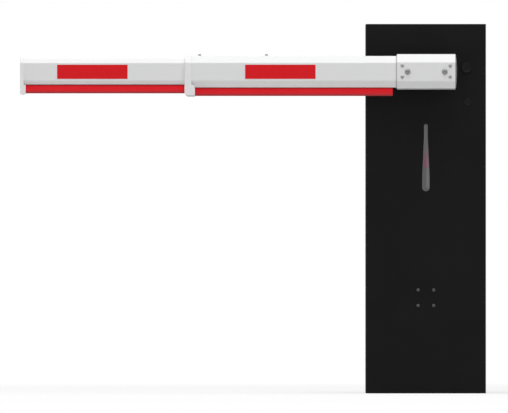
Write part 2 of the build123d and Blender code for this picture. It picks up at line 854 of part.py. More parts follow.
with BuildPart() as inner_end_cap:
    with BuildSketch(arm_plane(-arm_reach)):
        add(shifted(inner_outline, cap_lip))
        Rectangle(cap_depth, pivot_z - cap_bottom, align=hanging)
    extrude(amount=cap_tongue_length)
    fillet(inner_end_cap.faces().sort_by(Axis.X)[0].edges(), cap_rounding)
    with BuildSketch(front_plane(arm_y + cap_depth / 2)) as cap_view:
        with BuildLine():
            Polyline(
                (-arm_reach, cap_top),
                (-cap_face, cap_top),
                (-cap_face, inner_bottom),
                (cap_tongue_end, inner_bottom),
                (cap_tongue_end, cap_bottom),
                (-arm_reach, cap_bottom),
                close=True,
            )
        make_face()
        fillet(cap_view.vertices().group_by(Axis.Y)[0], cap_tongue_corner)
    extrude(amount=cap_depth, mode=Mode.INTERSECT)
    with BuildSketch(arm_plane(-cap_face)):
        add(plug_section(inner_outline, inner_height, inner_wall))
    extrude(amount=plug_length)

with BuildPart() as guide_block:
    with BuildSketch(arm_plane(-inner_end)):
        add(bore_section(main_outline, main_height, main_wall, slide_clearance))
        with Locations((0, main_height / 2 - main_wall)):
            Rectangle(
                glide_groove_width, glide_groove_depth, align=hanging, mode=Mode.SUBTRACT
            )
    extrude(amount=glide_length)
    with BuildSketch(arm_plane(-inner_end - glide_spigot)):
        add(plug_section(inner_outline, inner_height, inner_wall))
    extrude(amount=glide_spigot)


# Reflective strips: thin sheets on the flats of both tubes
def reflector(middle_x, tube_depth, side):
    """Strip on a tube's front flat where side is -1, or on its back flat where side is 1."""
    middle_y = arm_y + side * (tube_depth + reflector_thickness) / 2
    with BuildPart() as strip:
        with BuildSketch(front_plane(middle_y)):
            with Locations((middle_x, pivot_z)):
                Rectangle(reflector_length, reflector_height)
        extrude(amount=reflector_thickness / 2, both=True)
    return strip


main_reflector_front = reflector(main_reflector_x, main_depth, -1)
main_reflector_back = reflector(main_reflector_x, main_depth, 1)
inner_reflector_front = reflector(inner_reflector_x, inner_depth, -1)
inner_reflector_back = reflector(inner_reflector_x, inner_depth, 1)

# Every piece is written to its own file
pieces = {
    "base_plate": base_plate,
    "front_panel": front_panel,
    "left_side_panel": left_side_panel,
    "right_side_panel": right_side_panel,
    "top_cover": top_cover,
    "rear_kick_plate": rear_kick_plate,
    "front_left_post": front_left_post,
    "front_right_post": front_right_post,
    "rear_left_post": rear_left_post,
    "rear_right_post": rear_right_post,
    "service_door": service_door,
    "door_hinges": door_hinges,
    "door_lock": door_lock,
    "status_lens": status_lens,
    "light_tray": light_tray,
    "led_strip": led_strip,
    "sensor_bracket": sensor_bracket,
    "panel_screws": panel_screws,
    "release_cover": release_cover,
    "key_lock": key_lock,
    "bearing_housing": bearing_housing,
    "bearing_backplate": bearing_backplate,
    "bearing_bolts": bearing_bolts,
    "drive_shaft": drive_shaft,
    "shaft_collar": shaft_collar,
    "hub_plate": hub_plate,
    "arm_sleeve": arm_sleeve,
    "sleeve_end_cap": sleeve_end_cap,
    "sleeve_bolts": sleeve_bolts,
    "sleeve_screws": sleeve_screws,
    "main_tube": main_tube,
    "main_rubber": main_rubber,
    "tube_collar": tube_collar,
    "clamp_screws": clamp_screws,
    "main_reflector_front": main_reflector_front,
    "main_reflector_back": main_reflector_back,
    "inner_tube": inner_tube,
    "inner_rubber": inner_rubber,
    "inner_end_cap": inner_end_cap,
    "inner_reflector_front": inner_reflector_front,
    "inner_reflector_back": inner_reflector_back,
    "guide_block": guide_block,
}
for label, piece in pieces.items():
    piece.part.label = label
    export_step(piece.part, f"parts/{label}.step")
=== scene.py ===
"""Looks of a parking barrier: a black sheet-metal cabinet and a white two-stage arm.

Metres. The origin is the centre of the cabinet's footprint on the ground, +Z is up, the
cabinet's front faces -Y, and the arm reaches out to -X.
"""

from math import atan2, cos, pi, radians, sin, sqrt

import bmesh
import bpy
from mathutils import Matrix, Vector


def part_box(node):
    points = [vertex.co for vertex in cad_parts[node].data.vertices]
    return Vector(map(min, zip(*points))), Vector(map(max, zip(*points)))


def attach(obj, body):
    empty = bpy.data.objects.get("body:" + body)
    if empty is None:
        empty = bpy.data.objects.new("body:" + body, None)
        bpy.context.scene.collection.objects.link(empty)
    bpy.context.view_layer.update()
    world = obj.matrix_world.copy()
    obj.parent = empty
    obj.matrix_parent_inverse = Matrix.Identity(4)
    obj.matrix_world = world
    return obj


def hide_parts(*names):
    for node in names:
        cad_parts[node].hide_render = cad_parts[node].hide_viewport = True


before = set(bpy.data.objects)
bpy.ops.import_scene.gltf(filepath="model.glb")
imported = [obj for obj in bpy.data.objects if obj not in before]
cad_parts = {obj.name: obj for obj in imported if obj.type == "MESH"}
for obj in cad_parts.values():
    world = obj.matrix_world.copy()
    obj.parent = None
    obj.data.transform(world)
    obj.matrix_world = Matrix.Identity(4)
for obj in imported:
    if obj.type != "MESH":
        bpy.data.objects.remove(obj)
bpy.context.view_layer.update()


# Camera: a long lens far in front, level with the middle of the barrier, as a catalogue's front
# view is taken, so that neither the sides nor the top show.
picture_width = 508  # pixels
pixel_size = 0.00275  # what one pixel covers at the cabinet's front
film_width = 36.0
focal_length = 1300.0
view_middle = (-0.4728, 0.5140)
view_distance = focal_length / film_width * picture_width * pixel_size
sight_range = (1.0, 300.0)  # nearest and farthest that the camera sees

camera_data = bpy.data.cameras.new("front_camera")
camera_data.sensor_width = film_width
camera_data.lens = focal_length
camera_data.clip_start, camera_data.clip_end = sight_range
camera = bpy.data.objects.new("front_camera", camera_data)
camera.location = (view_middle[0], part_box("front_panel")[0].y - view_distance, view_middle[1])
camera.rotation_euler = (radians(90), 0, 0)
bpy.context.scene.collection.objects.link(camera)
bpy.context.scene.camera = camera
bpy.context.scene.view_settings.view_transform = "Standard"


# Studio: an even pale room that looks white, a wide softbox high over the front, a small one at
# each side, and a pale floor with a faint shadow. The room's light is weaker than its white.
def feed(tree, socket, value):
    """Links a socket to another one, or sets it to a plain value."""
    if isinstance(value, bpy.types.NodeSocket):
        tree.links.new(value, socket)
    else:
        socket.default_value = value


def put(tree, kind, settings=None, **sockets):
    """Adds a shader node, with its settings, and its inputs by name."""
    made = tree.nodes.new("ShaderNode" + kind)
    for name, value in (settings or {}).items():
        setattr(made, name, value)
    for name, value in sockets.items():
        feed(tree, made.inputs[name.replace("_", " ")], value)
    return made


def reckon(tree, operation, *values):
    """Sum, product or another operation on numbers."""
    made = tree.nodes.new("ShaderNodeMath")
    made.operation = operation
    for socket, value in zip(made.inputs, values):
        feed(tree, socket, value)
    return made.outputs[0]


def product(tree, number, *factors):
    """Number multiplied by one or more factors."""
    for factor in factors:
        number = reckon(tree, "MULTIPLY", number, factor)
    return number


def between(tree, factor, low, high):
    """Number that goes from low to high as the factor goes from 0 to 1."""
    made = put(tree, "MapRange", Value=factor, To_Min=low, To_Max=high)
    return made.outputs["Result"]


def ramp(tree, value, start, end, soft=False):
    """Number that goes from 0 to 1 as the value goes from start to end, evenly or softly."""
    settings = {"interpolation_type": "SMOOTHSTEP" if soft else "LINEAR"}
    made = put(tree, "MapRange", settings, Value=value, From_Min=start, From_Max=end)
    return made.outputs["Result"]


def tinted(tree, factor, first, second):
    """Colour that goes from the first to the second as the factor goes from 0 to 1."""
    made = tree.nodes.new("ShaderNodeMix")
    made.data_type = "RGBA"
    for index, value in ((0, factor), (6, first), (7, second)):
        feed(tree, made.inputs[index], value)
    return made.outputs[2]


def place_on(tree):
    """Place on the object itself, in metres."""
    return put(tree, "TexCoord").outputs["Object"]


def seen_directly(tree):
    """1 where the camera sees a thing, also in a reflection or through glass, and else 0."""
    path = put(tree, "LightPath").outputs
    mirrored = reckon(tree, "MAXIMUM", path["Is Glossy Ray"], path["Is Transmission Ray"])
    return reckon(tree, "MAXIMUM", path["Is Camera Ray"], mirrored)


room_light = 0.49
world = bpy.data.worlds.new("pale_room")
world.use_nodes = True
room = world.node_tree
room_shader = room.nodes["Background"]
room_shader.inputs["Color"].default_value = (1, 1, 1, 1)
feed(room, room_shader.inputs["Strength"], between(room, seen_directly(room), room_light, 1.0))
bpy.context.scene.world = world

floor_half = 70.0
floor_squares = 8
floor_colour = (0.82, 0.82, 0.82, 1)  # as it lights the barrier from below
floor_white = (0.97, 0.97, 0.97, 1)  # as it is seen
floor_fade = (1.2, 2.8)  # from here to here the lit floor turns into the room's plain white
floor_glow = 0.6  # how far it has turned beside the barrier
floor_mesh = bpy.data.meshes.new("studio_floor")
floor_shape = bmesh.new()
bmesh.ops.create_grid(
    floor_shape, x_segments=floor_squares, y_segments=floor_squares, size=floor_half
)
floor_shape.to_mesh(floor_mesh)
floor_shape.free()
floor_material = bpy.data.materials.new("studio_floor")
floor_material.use_nodes = True
floor_tree = floor_material.node_tree
floor_tree.nodes.remove(floor_tree.nodes["Principled BSDF"])
floor_reach = put(floor_tree, "VectorMath", {"operation": "LENGTH"})
feed(floor_tree, floor_reach.inputs[0], place_on(floor_tree))
floor_far = ramp(floor_tree, floor_reach.outputs["Value"], *floor_fade)
floor_seen = seen_directly(floor_tree)
floor_turn = between(floor_tree, floor_far, floor_glow, 1.0)
floor_mix = put(floor_tree, "MixShader", Fac=product(floor_tree, floor_turn, floor_seen))
floor_lit = put(floor_tree, "BsdfDiffuse", Color=tinted(floor_tree, floor_seen, floor_colour, floor_white))
floor_plain = put(floor_tree, "Emission", Color=(1, 1, 1, 1), Strength=1.0)
feed(floor_tree, floor_mix.inputs[1], floor_lit.outputs[0])
feed(floor_tree, floor_mix.inputs[2], floor_plain.outputs[0])
feed(floor_tree, floor_tree.nodes["Material Output"].inputs["Surface"], floor_mix.outputs[0])
floor_mesh.materials.append(floor_material)
floor = bpy.data.objects.new("studio_floor", floor_mesh)
bpy.context.scene.collection.objects.link(floor)


def softbox(name, side, watts, place, target):
    """Square lamp of a size and a power, turned towards a target."""
    lamp = bpy.data.lights.new(name, "AREA")
    lamp.size = side
    lamp.energy = watts
    box = bpy.data.objects.new(name, lamp)
    box.location = place
    box.rotation_euler = (Vector(target) - Vector(place)).to_track_quat("-Z", "Y").to_euler()
    bpy.context.scene.collection.objects.link(box)


softbox("main_softbox", side=3.0, watts=101.0, place=(-0.4, -1.0, 4.2), target=(-0.45, -0.2, 0.75))
softbox("left_softbox", side=1.6, watts=10.0, place=(-3.6, -0.9, 1.3), target=(-0.9, -0.2, 0.85))
softbox("right_softbox", side=1.0, watts=6.0, place=(1.9, -2.7, 0.7), target=(0.0, -0.15, 0.65))


# Base plate and corner posts: 8 mm plate and folded angles, hot-dip galvanised, which leaves
# zinc crystals of a few millimetres. The plate is bolted to the ground and the posts stand on it.
def start_group(name, inputs, outputs):
    """New node group, with its named number inputs and its named outputs."""
    group = bpy.data.node_groups.new(name, "ShaderNodeTree")
    for label in inputs:
        group.interface.new_socket(label, in_out="INPUT", socket_type="NodeSocketFloat")
    for label, kind in outputs.items():
        group.interface.new_socket(label, in_out="OUTPUT", socket_type="NodeSocket" + kind)
    entry = group.nodes.new("NodeGroupInput").outputs
    leave = group.nodes.new("NodeGroupOutput").inputs
    return group, entry, leave


def use_group(tree, group, **values):
    """Places a node group with its own values, and gives its outputs."""
    placed = tree.nodes.new("ShaderNodeGroup")
    placed.node_tree = group
    for name, value in values.items():
        feed(tree, placed.inputs[name.replace("_", " ")], value)
    return placed.outputs


def start_material(name, metallic=0.0, specular=0.5):
    """New material with plain constants on its shader. Its colour and roughness come later."""
    material = bpy.data.materials.new(name)
    material.use_nodes = True
    shader = material.node_tree.nodes["Principled BSDF"]
    shader.inputs["Metallic"].default_value = metallic
    shader.inputs["Specular IOR Level"].default_value = specular
    return material, material.node_tree, shader.inputs


def finish_surface(tree, shader, colour, roughness, height, depth, normal=None):
    """Feeds the shader its colour, its roughness and a bump of a depth in metres."""
    bump = put(tree, "Bump", Height=height, Distance=depth, Strength=1.0)
    if normal:
        feed(tree, bump.inputs["Normal"], normal)
    feed(tree, shader["Base Color"], colour)
    feed(tree, shader["Roughness"], roughness)
    feed(tree, shader["Normal"], bump.outputs["Normal"])


def dress(material, *names):
    """Gives a material to construction nodes."""
    for name in names:
        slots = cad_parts[name].data.materials
        slots.clear()
        slots.append(material)


def shade(grey, tint=(1, 1, 1)):
    """Grey of a linear level, with a slight tint."""
    return (grey * tint[0], grey * tint[1], grey * tint[2], 1)


def noise(tree, place, scale, detail=2.0, roughness=0.5):
    """Cloudy pattern from 0 to 1, with so many patches to a metre."""
    made = put(tree, "TexNoise", Vector=place, Scale=scale, Detail=detail, Roughness=roughness)
    return made.outputs["Fac"]


# Worn or rubbed edges, and the small rounding that every real edge has
wear_turn_range = (0.99, 0.8)  # cosine of the turn where wear starts, and where it is full
wear_patch_range = (0.42, 0.62)
edge_wear, wear_in, wear_out = start_group(
    "edge_wear", ["Radius", "Patch Size", "Amount"], {"Mask": "Float", "Normal": "Vector"}
)
wear_normal = put(edge_wear, "Bevel", {"samples": 6}, Radius=wear_in["Radius"]).outputs["Normal"]
wear_turn = put(edge_wear, "VectorMath", {"operation": "DOT_PRODUCT"})
feed(edge_wear, wear_turn.inputs[0], wear_normal)
feed(edge_wear, wear_turn.inputs[1], put(edge_wear, "NewGeometry").outputs["True Normal"])
wear_edge = ramp(edge_wear, wear_turn.outputs["Value"], *wear_turn_range, soft=True)
wear_scale = reckon(edge_wear, "DIVIDE", 1.0, wear_in["Patch Size"])
wear_noise = noise(edge_wear, place_on(edge_wear), wear_scale, detail=3.0)
wear_patch = ramp(edge_wear, wear_noise, *wear_patch_range)
wear_mask = product(edge_wear, wear_edge, wear_patch, wear_in["Amount"])
feed(edge_wear, wear_out["Mask"], wear_mask)
feed(edge_wear, wear_out["Normal"], wear_normal)

galvanised, zinc, zinc_shader = start_material("galvanised_steel", metallic=1.0)
zinc_crystals = put(zinc, "TexVoronoi", Vector=place_on(zinc), Scale=160.0)
zinc_tone = put(zinc, "RGBToBW", Color=zinc_crystals.outputs["Color"]).outputs[0]
zinc_colour = tinted(zinc, zinc_tone, shade(0.42, (0.97, 0.99, 1.03)), shade(0.6))
zinc_rough = between(zinc, zinc_tone, 0.38, 0.6)
zinc_flow = noise(zinc, place_on(zinc), scale=14.0, detail=3.0)
finish_surface(zinc, zinc_shader, zinc_colour, zinc_rough, zinc_flow, depth=0.0002)
dress(galvanised, "base_plate", "sensor_bracket", "bearing_backplate")
for corner in ("front_left", "front_right", "rear_left", "rear_right"):
    dress(galvanised, corner + "_post")


# Cabinet: panels and door folded from 2.5 mm steel sheet, in matt black powder coat with the
# fine grain that this finish has. Screwed to the posts from inside.
gloss_shift = (3.1, 1.7, 5.3)  # keeps the gloss from changing where the tone does
coat_grain, coat_in, coat_out = start_group(
    "coat_grain",
    ["Grain Size", "Patch Size"],
    {"Height": "Float", "Tone": "Float", "Gloss": "Float"},
)
coat_place = place_on(coat_grain)
coat_fine_scale = reckon(coat_grain, "DIVIDE", 1.0, coat_in["Grain Size"])
coat_patch_scale = reckon(coat_grain, "DIVIDE", 1.0, coat_in["Patch Size"])
coat_gloss_scale = reckon(coat_grain, "DIVIDE", 0.7, coat_in["Patch Size"])
coat_shift = put(coat_grain, "VectorMath", {"operation": "ADD"})
feed(coat_grain, coat_shift.inputs[0], coat_place)
feed(coat_grain, coat_shift.inputs[1], gloss_shift)
coat_height = noise(coat_grain, coat_place, coat_fine_scale, detail=3.0, roughness=0.6)
feed(coat_grain, coat_out["Height"], coat_height)
feed(coat_grain, coat_out["Tone"], noise(coat_grain, coat_place, coat_patch_scale, detail=4.0))
coat_gloss = noise(coat_grain, coat_shift.outputs["Vector"], coat_gloss_scale)
feed(coat_grain, coat_out["Gloss"], coat_gloss)


def lean(tree):
    """How far a face looks up: 1 on a level top, 0 on a wall and -1 on an underside."""
    facing = put(tree, "TexCoord").outputs["Normal"]
    return put(tree, "SeparateXYZ", Vector=facing).outputs["Z"]


dust_lean_range = (0.3, 1.0)
settled_dust, dust_in, dust_out = start_group("settled_dust", ["Amount"], {"Mask": "Float"})
dust_top = ramp(settled_dust, lean(settled_dust), *dust_lean_range, soft=True)
dust_noise = noise(settled_dust, place_on(settled_dust), scale=40.0, detail=5.0)
dust_mask = product(settled_dust, dust_top, dust_noise, dust_in["Amount"])
feed(settled_dust, dust_out["Mask"], dust_mask)

# Painted underside shade: faces that look down turn towards a dark grey, which stands in for the shade under
# them
painted_underside_shade, underside_shade_in, underside_shade_out = start_group(
    "painted_underside_shade", ["Start", "Full", "Amount"], {"Mask": "Float"}
)
underside_lean = ramp(painted_underside_shade, lean(painted_underside_shade), underside_shade_in["Start"], underside_shade_in["Full"], soft=True)
underside_shade_patches = between(painted_underside_shade, noise(painted_underside_shade, place_on(painted_underside_shade), scale=25.0), 0.7, 1.2)
underside_shade_mask = product(painted_underside_shade, underside_lean, underside_shade_in["Amount"], underside_shade_patches)
feed(painted_underside_shade, underside_shade_out["Mask"], underside_shade_mask)

dust_colour = (0.33, 0.31, 0.28, 1)
# grey of the painted underside shade
underside_shade_colour = (0.31, 0.305, 0.3, 1)


def coated(
    name, tones, roughness, depth, specular, grain, edge=None, rubbed=None, dust=None, underside_shade=None
):
    """Coated or moulded material: two tones, two roughnesses, and the values of its groups."""
    material, tree, shader = start_material(name, specular=specular)
    coat = use_group(tree, coat_grain, **grain)
    colour = tinted(tree, coat["Tone"], *tones)
    normal = None
    if edge:
        worn = use_group(tree, edge_wear, **edge)
        normal = worn["Normal"]
        if rubbed:
            colour = tinted(tree, worn["Mask"], colour, rubbed)
    if dust:
        colour = tinted(tree, use_group(tree, settled_dust, **dust)["Mask"], colour, dust_colour)
    # painted shade on faces that look down
    if underside_shade:
        colour = tinted(tree, use_group(tree, painted_underside_shade, **underside_shade)["Mask"], colour, underside_shade_colour)
    rough = between(tree, coat["Gloss"], *roughness)
    finish_surface(tree, shader, colour, rough, coat["Height"], depth, normal)
    return material


cabinet_tint = (1.0, 1.0, 1.02)
cabinet_paint = coated(
    "cabinet_paint",
    tones=(shade(0.0058, cabinet_tint), shade(0.0085, cabinet_tint)),
    roughness=(0.5, 0.68),
    depth=0.00012,
    specular=0.08,
    grain=dict(Grain_Size=0.0007, Patch_Size=0.11),
    edge=dict(Radius=0.0012, Patch_Size=0.012, Amount=1.0),
    rubbed=shade(0.03),
    dust=dict(Amount=0.06),
)
dress(cabinet_paint, "front_panel", "left_side_panel", "right_side_panel", "top_cover")
dress(cabinet_paint, "rear_kick_plate", "service_door")


# Door seal: a black rubber strip in the gap round the service door, pressed in from inside and
# set back a little from the sheet's face.
def add_block(shape, low, high, rounding=0.0):
    """Adds a block between two corners, with its edges rounded."""
    low, high = Vector(low), Vector(high)
    place = Matrix.Translation((low + high) / 2) @ Matrix.Diagonal((*(high - low), 1))
    corners = bmesh.ops.create_cube(shape, size=1.0, matrix=place)["verts"]
    if rounding:
        edges = list(dict.fromkeys(edge for corner in corners for edge in corner.link_edges))
        bmesh.ops.bevel(shape, geom=edges, offset=rounding, segments=3, affect="EDGES", profile=0.5)


def new_piece(name, shape, material, sharp_angle=32):
    """Makes a shape an object with a material, smooth except across its sharp edges."""
    bmesh.ops.recalc_face_normals(shape, faces=shape.faces)
    mesh = bpy.data.meshes.new(name)
    shape.to_mesh(mesh)
    shape.free()
    mesh.shade_smooth()
    mesh.set_sharp_from_angle(angle=radians(sharp_angle))
    mesh.materials.append(material)
    piece = bpy.data.objects.new(name, mesh)
    bpy.context.scene.collection.objects.link(piece)
    return piece


black_rubber = coated(
    "seal_rubber",
    tones=(shade(0.004), shade(0.008)),
    roughness=(0.6, 0.8),
    depth=0.0001,
    specular=0.2,
    grain=dict(Grain_Size=0.0009, Patch_Size=0.05),
)
seal_depth = 0.001
door_low, door_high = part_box("service_door")
wall_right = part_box("right_side_panel")[0].x
cover_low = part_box("top_cover")[0].z
kick_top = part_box("rear_kick_plate")[1].z
seal_front, seal_back = door_low.y, door_high.y - seal_depth
seal_shape = bmesh.new()
for side in (-1, 1):
    left, right = sorted((side * door_high.x, side * wall_right))
    add_block(seal_shape, (left, seal_front, kick_top), (right, seal_back, cover_low))
for bottom, top in ((kick_top, door_low.z), (door_high.z, cover_low)):
    add_block(seal_shape, (-door_high.x, seal_front, bottom), (door_high.x, seal_back, top))
door_seal = new_piece("door_seal", seal_shape, black_rubber)
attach(door_seal, "cabinet")


# Door hinges: three die-cast barrel hinges over the left seam, in the cabinet's black. Each has
# three knuckles on a steel pin and a leaf that two countersunk screws hold on the door.
facing_front = Matrix.Rotation(pi / 2, 4, "X")
facing_back = Matrix.Rotation(-pi / 2, 4, "X")
round_steps = 48


def hexagon(across):
    """Outline of a hexagon, by its width across flats."""
    return lambda angle: across / 2 / cos((angle + pi / 6) % (pi / 3) - pi / 6)


def skin(shape, loops):
    """Adds the faces between each loop of points and the next one."""
    for lower, upper in zip(loops, loops[1:]):
        for step, spot in enumerate(lower):
            after = (step + 1) % len(lower)
            shape.faces.new((spot, lower[after], upper[after], upper[step]))


def add_turned(shape, place, rings):
    """Adds a closed part from radii, or other outlines, at their heights along its axis."""
    loops = []
    for outline, height in rings:
        loop = []
        for step in range(round_steps):
            angle = 2 * pi * step / round_steps
            reach = outline(angle) if callable(outline) else outline
            spot = place @ Vector((reach * cos(angle), reach * sin(angle), height))
            loop.append(shape.verts.new(spot))
        loops.append(loop)
    skin(shape, loops)
    shape.faces.new(reversed(loops[0]))
    shape.faces.new(loops[-1])


def button_rings(head_radius, head_height, shank_radius, shank_length, across, socket_depth):
    """Outlines of a domed screw with a hexagon socket, from the shank's tip to the socket."""
    rim = 0.12 * head_height
    mouth = 0.62 * across
    chamfer = 0.04 * across
    rings = [
        (shank_radius, -shank_length),
        (shank_radius, 0),
        (head_radius - 0.05 * head_height, 0),
        (head_radius, rim / 2),
        (head_radius, rim),
    ]
    dome_steps = 7
    for step in range(1, dome_steps + 1):
        turn = pi / 2 * step / dome_steps
        radius = mouth + (head_radius - mouth) * cos(turn)
        rings.append((radius, rim + (head_height - rim) * sin(turn)))
    rings += [
        (hexagon(across + chamfer), head_height - chamfer),
        (hexagon(across), head_height - 0.1 * across),
        (hexagon(across), head_height - socket_depth),
        (hexagon(0.5 * across), head_height - socket_depth - 0.1 * across),
    ]
    return rings


hinge_barrel_radius = 0.0038
hinge_pin_radius = 0.0019
hinge_pin_tip = 0.7 * hinge_pin_radius
hinge_pin_stand_out = 0.0006
hinge_leaf_thickness = 0.0028
hinge_leaf_rounding = 0.0008
hinge_knuckle_gap = 0.0006
hinge_knuckles = 3
hinge_screw_radius = 0.0032
hinge_screw_height = 0.0006
hinge_screw_socket = 0.0009
hinge_screw_inset = 0.012
hinge_low, hinge_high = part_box("door_hinges")
hinge_height = 0.07
hinge_middles = [
    hinge_low.z + hinge_height / 2,
    (hinge_low.z + hinge_high.z) / 2,
    hinge_high.z - hinge_height / 2,
]
hinge_seat = hinge_low.y
barrel_x = hinge_low.x + hinge_barrel_radius
barrel_y = hinge_seat + hinge_barrel_radius
hinge_leaf_face = hinge_seat + hinge_leaf_thickness
hinge_screw_x = (barrel_x + hinge_barrel_radius + hinge_high.x) / 2
knuckle_height = (hinge_height - (hinge_knuckles - 1) * hinge_knuckle_gap) / hinge_knuckles
knuckle_edge = 0.0004
hinge_shape = bmesh.new()
hinge_pin_shape = bmesh.new()
for middle in hinge_middles:
    bottom = middle - hinge_height / 2
    for knuckle in range(hinge_knuckles):
        start = bottom + knuckle * (knuckle_height + hinge_knuckle_gap)
        add_turned(
            hinge_shape,
            Matrix.Translation((barrel_x, barrel_y, start)),
            [
                (hinge_barrel_radius - knuckle_edge, 0),
                (hinge_barrel_radius, knuckle_edge),
                (hinge_barrel_radius, knuckle_height - knuckle_edge),
                (hinge_barrel_radius - knuckle_edge, knuckle_height),
            ],
        )
    add_block(
        hinge_shape,
        (barrel_x, hinge_seat, bottom),
        (hinge_high.x, hinge_leaf_face, bottom + hinge_height),
        hinge_leaf_rounding,
    )
    add_turned(
        hinge_pin_shape,
        Matrix.Translation((barrel_x, barrel_y, bottom)),
        [
            (hinge_pin_tip, -hinge_pin_stand_out),
            (hinge_pin_radius, 0),
            (hinge_pin_radius, hinge_height),
            (hinge_pin_tip, hinge_height + hinge_pin_stand_out),
        ],
    )
    for side in (-1, 1):
        screw_z = middle + side * (hinge_height / 2 - hinge_screw_inset)
        add_turned(
            hinge_pin_shape,
            Matrix.Translation((hinge_screw_x, hinge_leaf_face, screw_z)) @ facing_back,
            button_rings(
                head_radius=hinge_screw_radius,
                head_height=hinge_screw_height,
                shank_radius=hinge_screw_radius / 2,
                shank_length=hinge_leaf_thickness,
                across=hinge_screw_radius * 0.75,
                socket_depth=hinge_screw_socket,
            ),
        )

hinge_set = new_piece("hinge_set", hinge_shape, cabinet_paint)
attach(hinge_set, "cabinet")
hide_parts("door_hinges")

# Brushed, turned or plated metal: fine scratches, and a tone that drifts
metal_grain, metal_in, metal_out = start_group(
    "metal_grain",
    ["Scratch Size", "Stretch X", "Stretch Y", "Stretch Z"],
    {"Height": "Float", "Tone": "Float"},
)
metal_stretch = put(metal_grain, "CombineXYZ")
for axis in "XYZ":
    feed(metal_grain, metal_stretch.inputs[axis], metal_in["Stretch " + axis])
metal_pulled = put(metal_grain, "VectorMath", {"operation": "MULTIPLY"})
feed(metal_grain, metal_pulled.inputs[0], place_on(metal_grain))
feed(metal_grain, metal_pulled.inputs[1], metal_stretch.outputs["Vector"])
metal_scale = reckon(metal_grain, "DIVIDE", 1.0, metal_in["Scratch Size"])
metal_height = noise(
    metal_grain, metal_pulled.outputs["Vector"], metal_scale, detail=4.0, roughness=0.65
)
feed(metal_grain, metal_out["Height"], metal_height)
feed(metal_grain, metal_out["Tone"], noise(metal_grain, place_on(metal_grain), scale=220.0))
scratch_depth = 0.00003


def metal(name, tones, roughness, stretch_y=1.0):
    """Metal between two greys and two roughnesses, with fine scratches and bright edges."""
    material, tree, shader = start_material(name, metallic=1.0)
    grain = use_group(
        tree, metal_grain, Scratch_Size=0.0006, Stretch_X=1.0, Stretch_Y=stretch_y, Stretch_Z=1.0
    )
    edge = use_group(tree, edge_wear, Radius=0.0003, Patch_Size=0.003, Amount=1.0)
    colour = tinted(tree, grain["Tone"], *tones)
    colour = tinted(tree, edge["Mask"], colour, shade(0.5))
    rough = between(tree, grain["Height"], *roughness)
    finish_surface(tree, shader, colour, rough, grain["Height"], scratch_depth, edge["Normal"])
    return material


black_zinc = metal("black_zinc", tones=(shade(0.07), shade(0.1)), roughness=(0.35, 0.5))
hinge_pins = new_piece("hinge_pins", hinge_pin_shape, black_zinc)
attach(hinge_pins, "cabinet")


# Door lock: a quarter-turn cam lock in black die-cast zinc. Its head has a raised rim and a
# recessed insert for a three-sided key. Its barrel goes through the door and carries the cam.
moulded_black = coated(
    "black_fitting",
    tones=(shade(0.0065), shade(0.0095)),
    roughness=(0.3, 0.45),
    depth=0.00004,
    specular=0.12,
    grain=dict(Grain_Size=0.0005, Patch_Size=0.02),
    edge=dict(Radius=0.0004, Patch_Size=0.004, Amount=1.0),
    rubbed=shade(0.035),
)


def triangle(side_radius):
    """Outline of a triangle with flats at a radius, and blunt corners."""
    blunt = 1.6 * side_radius
    return lambda angle: min(side_radius / cos((angle + pi / 3) % (2 * pi / 3) - pi / 3), blunt)


def raised_disc(radius, height, rounding, shoulder):
    """Outlines of a disc's side and of its rounded upper edge."""
    return [
        (radius, 0),
        (radius, height - rounding),
        (radius - shoulder, height - shoulder),
        (radius - rounding, height),
    ]


lock_head_radius = 0.014
lock_head_height = 0.004
lock_low, lock_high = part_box("door_lock")
lock_middle_z = (lock_low.z + lock_high.z) / 2
lock_middle_x = lock_low.x + lock_head_radius
lock_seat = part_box("service_door")[1].y
lock_barrel_radius = 0.009
lock_rim_inside = lock_head_radius - 0.0028
lock_face = lock_head_height - 0.0009
lock_insert_radius = 0.0064
lock_insert_floor = lock_head_height - 0.009
lock_key_radius = 0.0022
cam_thickness = 0.003
cam_half_height = 0.007
cam_rounding = 0.0006
lock_place = Matrix.Translation((lock_middle_x, lock_seat, lock_middle_z)) @ facing_back
lock_shape = bmesh.new()
add_turned(
    lock_shape,
    lock_place,
    [
        (lock_barrel_radius, lock_low.y - lock_seat),
        (lock_barrel_radius, 0),
        *raised_disc(lock_head_radius, lock_head_height, rounding=0.0012, shoulder=0.0004),
        (lock_rim_inside, lock_head_height),
        (lock_rim_inside - 0.0006, lock_head_height - 0.0005),
        (lock_barrel_radius, lock_face),
        (lock_insert_radius + 0.0004, lock_face),
        (lock_insert_radius, lock_face - 0.0004),
        (lock_insert_radius, lock_insert_floor),
        (triangle(lock_key_radius), lock_insert_floor),
        (triangle(lock_key_radius), lock_head_height - 0.0016),
        (triangle(lock_key_radius - 0.0003), lock_head_height - 0.0012),
    ],
)
add_block(
    lock_shape,
    (lock_middle_x - cam_half_height, lock_low.y, lock_middle_z - cam_half_height),
    (lock_high.x, lock_low.y + cam_thickness, lock_middle_z + cam_half_height),
    cam_rounding,
)
door_lock = new_piece("quarter_turn_lock", lock_shape, moulded_black)
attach(door_lock, "cabinet")
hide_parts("door_lock")


